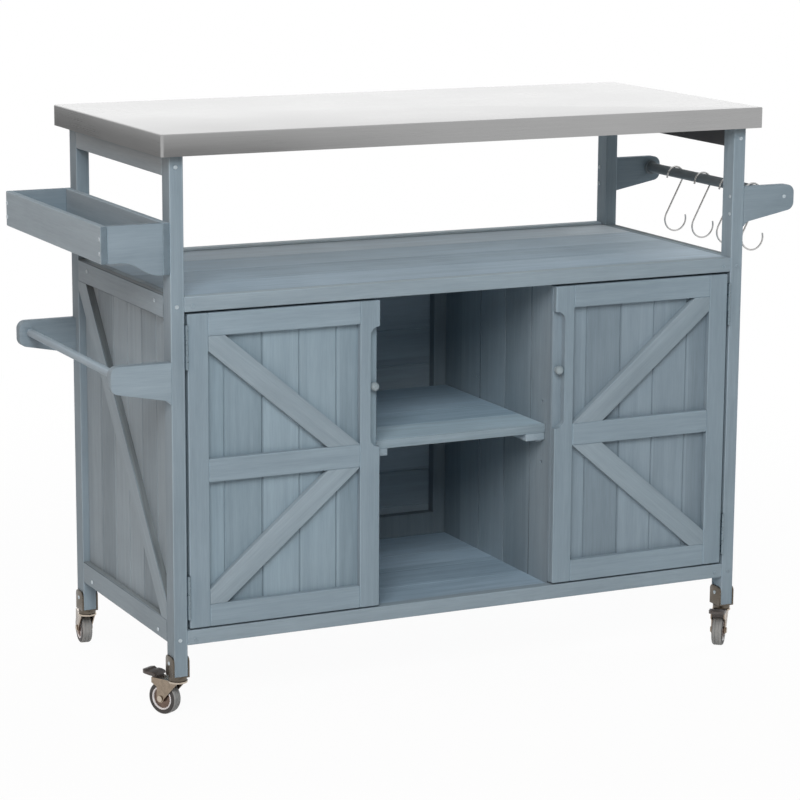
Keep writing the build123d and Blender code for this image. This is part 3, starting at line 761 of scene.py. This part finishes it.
class CART_OT_bars(Operator):
    """Finishes the towel bar, the tool bar, its collars and the hooks"""
    bl_idname = "cart.bars"
    bl_label = "Hang bars and hooks"

    def execute(self, context):
        edge = context.scene.cart_details.metal_edge
        pale = washed_wood("wash_towel_bar", [DEEP], tone=(1.16, 1.18, 1.2))
        dark = washed_wood("wash_tool_bar", [DEEP], tone=(0.75, 0.68, 0.64))
        for node, name, wash, width in (("towel_bar", "towel_rod", pale, 0.0),
                                        ("tool_bar", "tool_rod", dark, 0.0),
                                        ("tool_bar_collars", "tool_rod_rings", dark, edge)):
            piece = eased(node, name, width, segments=3)
            finish_piece(piece, wash, "cart_frame", node)
        wire = plated("polished_wire", context.scene.cart_finishes.wire, 0.2, metal=0.75)
        for node in sorted(NODES):
            if node.startswith("hook_"):
                piece = eased(node, node + "_wire", degrees=50)
                finish_piece(piece, wire, node, node)
        return {"FINISHED"}


class CART_OT_fittings(Operator):
    """Makes the screw heads, door knobs and hinges"""
    bl_idname = "cart.fittings"
    bl_label = "Fit screws, knobs and hinges"

    def execute(self, context):
        look = context.scene.cart_finishes
        detail = context.scene.cart_details
        zinc = plated("bright_zinc", look.zinc, metal=0.5)
        grey = plated("hinge_steel", look.hinge)
        lacquer = moulded("knob_lacquer", look.knob, 0.35)
        self.screws(zinc, moulded("painted_heads", look.wash, 0.6))
        for side in ("left", "right"):
            self.knob(side, lacquer, detail.turning_steps)
            leaves = eased("hinge_leaves_" + side, "hinge_flaps_" + side, detail.hinge_edge, 2, 40)
            finish_piece(leaves, grey, "door_" + side, "hinge_leaves_" + side)
        posts = eased("hinge_post_leaves", "hinge_flaps_posts", detail.hinge_edge, 2, 40)
        finish_piece(posts, grey, "cart_frame", "hinge_post_leaves")
        dress("hinge_pins", grey)
        pin_edge = 0.0005
        pins = eased("shelf_pins", "shelf_pegs", pin_edge, 3)
        finish_piece(pins, zinc, "cart_frame", "shelf_pins")
        return {"FINISHED"}

    def seats(self):
        """Where each screw head sits: the middle of its foot, its way out, its radius and its height."""
        head_size = 0.009
        heads = []
        for point in NODES["screws"].data.vertices:
            near = [head for head in heads if (head[0] - point.co).length < head_size]
            if near:
                near[0].append(point.co.copy())
            else:
                heads.append([point.co.copy()])
        for points in heads:
            low = Vector(min(p[i] for p in points) for i in range(3))
            high = Vector(max(p[i] for p in points) for i in range(3))
            size = high - low
            middle = (low + high) / 2
            thin = min(range(3), key=lambda i: size[i])
            wide_low = self.width_at(points, middle, thin, low[thin])
            wide_high = self.width_at(points, middle, thin, high[thin])
            out = Vector((0, 0, 0))
            out[thin] = 1 if wide_low > wide_high else -1
            yield middle - out * size[thin] / 2, out, max(size) / 2, size[thin]

    def width_at(self, points, middle, axis, level):
        """How far the points at one level of an axis lie from the middle."""
        return max((p - middle).length for p in points if abs(p[axis] - level) < SAME)

    def head(self, radius, height):
        """A pan head with a cross recess, standing on the origin."""
        wall = height * 0.35
        crown = height * 0.93
        dome = radius * 0.28
        flat = radius * 0.4
        profile = [(0, 0), (radius, 0), (radius, wall)]
        profile += arc((radius - dome, wall), dome, 0, 90, 3)[1:]
        profile = [(r, min(h, crown)) for r, h in profile]
        profile += [(flat, height), (0, height)]
        head = turned("screw_head", profile, 24)
        start_clean()
        recess = (radius * 1.15, radius * 0.26, height)
        bpy.ops.mesh.primitive_cube_add(size=1, location=(0, 0, height), scale=recess)
        blade = settle("recess")
        across = copy_of(blade, "recess_across", Matrix.Rotation(math.pi / 2, 4, "Z"))
        blade = joined([blade, across], "recess")
        apply_modifier(head, "BOOLEAN", operation="DIFFERENCE", object=blade, use_self=True)
        bpy.data.objects.remove(blade)
        return smooth(head, 40)

    def screws(self, zinc, paint):
        """All the screw heads, each turned a little further than the last. Those on the front, right of
        the left post and up to the counter, are painted over."""
        seats = list(self.seats())
        head = self.head(seats[0][2], seats[0][3])
        turn_step = 0.7
        copies = []
        for count, (foot, out, _, _) in enumerate(seats):
            turn = Matrix.Rotation(count * turn_step, 4, "Z")
            copies.append(copy_of(head, "screw_%02d" % count, facing(out, foot) @ turn))
        bpy.data.objects.remove(head)
        heads = joined(copies, "screw_heads")
        post_width, front_depth = 0.023, 0.03
        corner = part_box("posts")[0]
        left, front = corner.x + post_width, corner.y + front_depth
        low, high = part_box("base_rails")[0].z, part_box("counter_boards")[1].z
        two_tone(heads, zinc, paint, lambda at: at.x > left and at.y < front and low < at.z < high)
        keep_piece(heads, "cart_frame", "screws")

    def knob(self, side, lacquer, steps):
        """A turned ball knob on a short stem with a foot."""
        node = "door_knob_" + side
        low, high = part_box(node)
        at = Vector(((low.x + high.x) / 2, high.y, (low.z + high.z) / 2))
        ball = (high.x - low.x) / 2
        tall = high.y - low.y
        stem = ball * 0.43
        foot = stem * 1.5
        seat = math.degrees(math.asin(stem / ball))
        profile = [(0, 0), (foot, 0), (foot, tall * 0.05), (stem, tall * 0.09)]
        profile += arc((0, tall - ball), ball, seat - 90, 90, 24)
        profile[-1] = (0, tall)
        knob = smooth(turned("knob_" + side, profile, steps), 40)
        place(knob, facing((0, -1, 0), at))
        finish_piece(knob, lacquer, "door_" + side, node)


class CART_OT_casters(Operator):
    """Makes the casters: leg brackets, races, forks, wheels and brake pedals"""
    bl_idname = "cart.casters"
    bl_label = "Make the casters"

    def execute(self, context):
        look = context.scene.cart_finishes
        detail = context.scene.cart_details
        steel = plated("leg_bracket_steel", look.leg_bracket, 0.3, 0.15)
        seats = eased("caster_seats", "leg_brackets", detail.metal_edge)
        finish_piece(seats, steel, "cart_frame", "caster_seats")
        race_edge = 0.0008
        races = eased("caster_races", "swivel_races", race_edge, 3)
        finish_piece(races, steel, "cart_frame", "caster_races")
        bronze = plated("warm_zinc", look.caster_steel, 0.22, 0.15)
        # The axle heads' zinc also paints a highlight on the forks' top plates.
        bright = plated("axle_zinc_and_highlight", look.axle, 0.2)
        walls = moulded("tyre_walls", look.rubber, 0.55)
        tread = moulded("tyre_tread", look.tread, 0.65)
        disc = plated("disc_steel", look.wheel_disc, 0.25, 0.15)
        ring = moulded("hub_rim", look.rim, 0.4)
        for corner in CASTERS:
            axle = joint("caster_%s_roll" % corner)
            at = Vector(axle["pos_m"])
            axis = Vector(axle["axis"])
            self.fork(corner, at, axis, (bronze, bright), detail.metal_edge)
            self.tyre(corner, at, axis, (walls, tread), detail.turning_steps)
            self.hub(corner, at, axis, (disc, ring), detail.turning_steps)
        plastic = moulded("pedal_plastic", look.pedal, 0.35)
        pedal_edge = 0.0009
        for corner in BRAKED:
            node = "caster_pedal_" + corner
            pedal = eased(node, "brake_pedal_" + corner, pedal_edge, 3, 25)
            finish_piece(pedal, plastic, "pedal_" + corner, node)
        return {"FINISHED"}

    def fork(self, corner, at, axis, tones, edge):
        """A fork with bright heads on its axle, and its top plate in the same bright zinc as a painted
        highlight.
        """
        node = "caster_fork_" + corner
        near, far, _, _ = measure(node, at, axis)
        head = 0.0019
        plate_depth = 0.003
        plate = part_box(node)[1].z - plate_depth

        def is_axle_or_painted_highlight(centre):
            """Whether a face lies on a head of the axle or on the top plate."""
            along = (centre - at).dot(axis)
            return along > far - head or along < near + head or centre.z > plate

        fork = eased(node, "fork_" + corner, edge)
        two_tone(fork, *tones, is_axle_or_painted_highlight)
        keep_piece(fork, "caster_" + corner, node)

    def tyre(self, corner, at, axis, tones, steps):
        """A tyre with round shoulders and a grey tread with two grooves."""
        node = "caster_tyre_" + corner
        _, half, rim, tread = measure(node, at, axis)
        shoulder = (tread - rim) * 0.55
        bead_width, bead_drop = 0.0008, 0.0006
        groove = half * 0.32
        groove_top, groove_foot, groove_depth = 0.0007, 0.0003, 0.0008
        outside = [(rim, half - bead_drop), (rim + bead_width, half)]
        outside += arc((tread - shoulder, half - shoulder), shoulder, 90, 0, 6)
        outside += [(tread, groove + groove_top), (tread - groove_depth, groove + groove_foot),
                    (tread - groove_depth, groove - groove_foot), (tread, groove - groove_top)]
        tyre = self.both_sides("tyre_" + corner, outside, steps)
        band = tread - shoulder * 0.3
        two_tone(tyre, *tones, lambda centre: centre.xy.length > band)
        keep_piece(place(tyre, facing(axis, at)), "wheel_" + corner, node)

    def hub(self, corner, at, axis, tones, steps):
        """A hub with a boss, a dished brown disc and a pale rim."""
        node = "caster_hub_" + corner
        _, half, rim, _ = measure("caster_tyre_" + corner, at, axis)
        _, boss, _, _ = measure(node, at, axis)
        bore, boss_wall, boss_foot = 0.00305, 0.0026, 0.0034
        rim_wall, rim_sunk = 0.0026, 0.0003
        dish, dish_rise, dish_end, dish_root = 0.0028, 0.0004, 0.0009, 0.0002
        ease, fillet = 0.0005, 0.0006
        lip = half - rim_sunk
        inner = rim - rim_wall
        outside = [(bore, boss), (bore + boss_wall, boss), (bore + boss_wall + ease, boss - ease),
                   (bore + boss_foot, lip - dish + dish_rise), (inner - dish_end, lip - dish),
                   (inner - dish_root, lip - dish + fillet), (inner, lip - fillet),
                   (inner + fillet, lip), (rim - ease, lip), (rim, lip - ease)]
        hub = self.both_sides("hub_" + corner, outside, steps)
        two_tone(hub, *tones, lambda centre: centre.xy.length > inner - ease)
        keep_piece(place(hub, facing(axis, at)), "wheel_" + corner, node)

    def both_sides(self, name, outside, steps):
        """A closed ring turned from the profile of its outer side and the same profile mirrored."""
        profile = outside + [(radius, -height) for radius, height in reversed(outside)]
        return smooth(turned(name, profile, steps, closed=True), 30)


class CART_OT_stage(Operator):
    """Sets the floor, the light and the camera"""
    bl_idname = "cart.stage"
    bl_label = "Set the stage"

    def execute(self, context):
        stage = context.scene.cart_stage
        self.floor()
        self.sky(stage)
        self.lamps(stage)
        self.card("left", (-1.5, 2.4, 0.3), wide=2.6, tall=1.2, grey=0.23)
        self.card("front", (-0.02, -3.2, 0.3), wide=1.7, tall=1.2, grey=0.03)
        self.camera(stage)
        context.scene.view_settings.view_transform = "Standard"
        return {"FINISHED"}

    def seen(self, tree):
        """1 for rays that come straight from the eye, a mirror or a glass."""
        path = tree.nodes.new("ShaderNodeLightPath")
        total = path.outputs["Is Camera Ray"]
        for kind in ("Is Glossy Ray", "Is Transmission Ray"):
            add = tree.nodes.new("ShaderNodeMath")
            add.operation = "ADD"
            add.use_clamp = True
            tree.links.new(total, add.inputs[0])
            tree.links.new(path.outputs[kind], add.inputs[1])
            total = add.outputs[0]
        return total

    def floor(self):
        """A white floor that keeps the cart's shadow near it and runs out to plain white."""
        start_clean()
        bpy.ops.mesh.primitive_plane_add(size=120)
        floor = settle("studio_floor")
        paper = Finish("studio_paper")
        tree = paper.tree
        tree.nodes.remove(paper.shader)
        matt = tree.nodes.new("ShaderNodeBsdfDiffuse")
        matt.inputs["Color"].default_value = (0.86, 0.86, 0.86, 1)
        glow = tree.nodes.new("ShaderNodeEmission")
        away = paper.vector("LENGTH", paper.coords.outputs["Object"])
        near, far = 0.9, 2.6
        glow_near = 0.95
        share = paper.math("MULTIPLY", self.seen(tree), paper.ramp(away, near, far, glow_near, 1.0))
        mix = tree.nodes.new("ShaderNodeMixShader")
        tree.links.new(share, mix.inputs[0])
        tree.links.new(matt.outputs[0], mix.inputs[1])
        tree.links.new(glow.outputs[0], mix.inputs[2])
        tree.links.new(mix.outputs[0], tree.nodes["Material Output"].inputs["Surface"])
        floor.data.materials.append(paper.material)

    def sky(self, stage):
        """White all round to the eye and to mirrors, and a weak even light to all else."""
        world = bpy.data.worlds.new("studio")
        bpy.context.scene.world = world
        world.use_nodes = True
        tree = world.node_tree
        tree.nodes.clear()
        out = tree.nodes.new("ShaderNodeOutputWorld")
        glow = tree.nodes.new("ShaderNodeBackground")
        strength = tree.nodes.new("ShaderNodeMapRange")
        tree.links.new(self.seen(tree), strength.inputs["Value"])
        strength.inputs["To Min"].default_value = stage.ambient
        strength.inputs["To Max"].default_value = 1.0
        tree.links.new(strength.outputs[0], glow.inputs["Strength"])
        glow.inputs["Color"].default_value = (1, 1, 1, 1)
        tree.links.new(glow.outputs[0], out.inputs["Surface"])

    def lamps(self, stage):
        """A large lamp in front on the left, one at each side and two soft ones behind, of which the
        steel top mirrors only the weaker."""
        middle = Vector((0, 0, 0.5))
        white = (1.0, 1.0, 1.0)
        for name, at, wide, tall, power, colour, mirrored in (
                ("key", (-2.0, -3.85, 3.3), 2.6, 2.4, stage.key_power, white, False),
                ("fill", (-4.2, -0.9, 2.0), 2.2, 2.2, stage.fill_power, (1.0, 0.66, 0.5), False),
                ("right", (4.2, 0.6, 1.7), 2.2, 1.6, stage.right_power, white, False),
                ("back", (1.0, 4.8, 1.6), 7.0, 2.4, stage.back_power, white, False),
                ("sheen", (2.0, 4.8, 1.6), 7.0, 2.4, stage.sheen_power, white, True)):
            lamp = bpy.data.lights.new("lamp_" + name, "AREA")
            lamp.energy = power
            lamp.shape = "RECTANGLE"
            lamp.size = wide
            lamp.size_y = tall
            lamp.color = colour
            holder = bpy.data.objects.new("lamp_" + name, lamp)
            bpy.context.scene.collection.objects.link(holder)
            holder.location = at
            holder.rotation_euler = (middle - Vector(at)).to_track_quat("-Z", "Y").to_euler()
            holder.visible_camera = False
            holder.visible_glossy = mirrored

    def card(self, name, at, wide, tall, grey):
        """A grey card that only the steel mirrors, so that its upright sides get their shades."""
        start_clean()
        bpy.ops.mesh.primitive_plane_add(size=1)
        bpy.context.object.scale = (wide, tall, 1)
        card = settle("studio_card_" + name)
        away = Vector((at[0], at[1], 0))
        place(card, facing(-away, at))
        paper = Finish("card_" + name)
        tree = paper.tree
        tree.nodes.remove(paper.shader)
        glow = tree.nodes.new("ShaderNodeEmission")
        glow.inputs["Color"].default_value = (grey, grey, grey, 1)
        tree.links.new(glow.outputs[0], tree.nodes["Material Output"].inputs["Surface"])
        card.data.materials.append(paper.material)
        card.visible_camera = False
        card.visible_diffuse = False
        card.visible_transmission = False
        card.visible_shadow = False

    def camera(self, stage):
        """The photograph's view."""
        eye = bpy.data.cameras.new("photo_view")
        eye.lens = stage.lens
        eye.sensor_width = 36
        holder = bpy.data.objects.new("photo_view", eye)
        bpy.context.scene.collection.objects.link(holder)
        turn = Matrix.Rotation(-stage.yaw, 4, "Z") @ Matrix.Rotation(math.pi / 2 - stage.pitch, 4, "X")
        turn = turn @ Matrix.Rotation(stage.roll, 4, "Z")
        holder.matrix_world = Matrix.Translation(stage.camera_at) @ turn
        bpy.context.scene.camera = holder


class CART_PT_panel(Panel):
    """Lists the steps that finish the cart"""
    bl_idname = "CART_PT_panel"
    bl_label = "Grill cart"
    bl_space_type = "VIEW_3D"
    bl_region_type = "UI"
    bl_category = "Grill cart"

    def draw(self, context):
        for step in STEPS:
            self.layout.operator(step.bl_idname)
        for group in (context.scene.cart_finishes, context.scene.cart_details, context.scene.cart_stage):
            box = self.layout.box()
            for key in group.__annotations__:
                box.prop(group, key)


STEPS = (CART_OT_timber, CART_OT_steel_top, CART_OT_bars, CART_OT_fittings, CART_OT_casters,
         CART_OT_stage)
GROUPS = (CartFinishes, CartDetails, CartStage)
CLASSES = GROUPS + STEPS + (CART_PT_panel,)


def register():
    for kind in CLASSES:
        bpy.utils.register_class(kind)
    bpy.types.Scene.cart_finishes = PointerProperty(type=CartFinishes)
    bpy.types.Scene.cart_details = PointerProperty(type=CartDetails)
    bpy.types.Scene.cart_stage = PointerProperty(type=CartStage)


def unregister():
    del bpy.types.Scene.cart_stage
    del bpy.types.Scene.cart_details
    del bpy.types.Scene.cart_finishes
    for kind in reversed(CLASSES):
        bpy.utils.unregister_class(kind)


def main():
    register()
    bpy.ops.cart.timber()
    bpy.ops.cart.steel_top()
    bpy.ops.cart.bars()
    bpy.ops.cart.fittings()
    bpy.ops.cart.casters()
    bpy.ops.cart.stage()


if __name__ == "__main__":
    main()
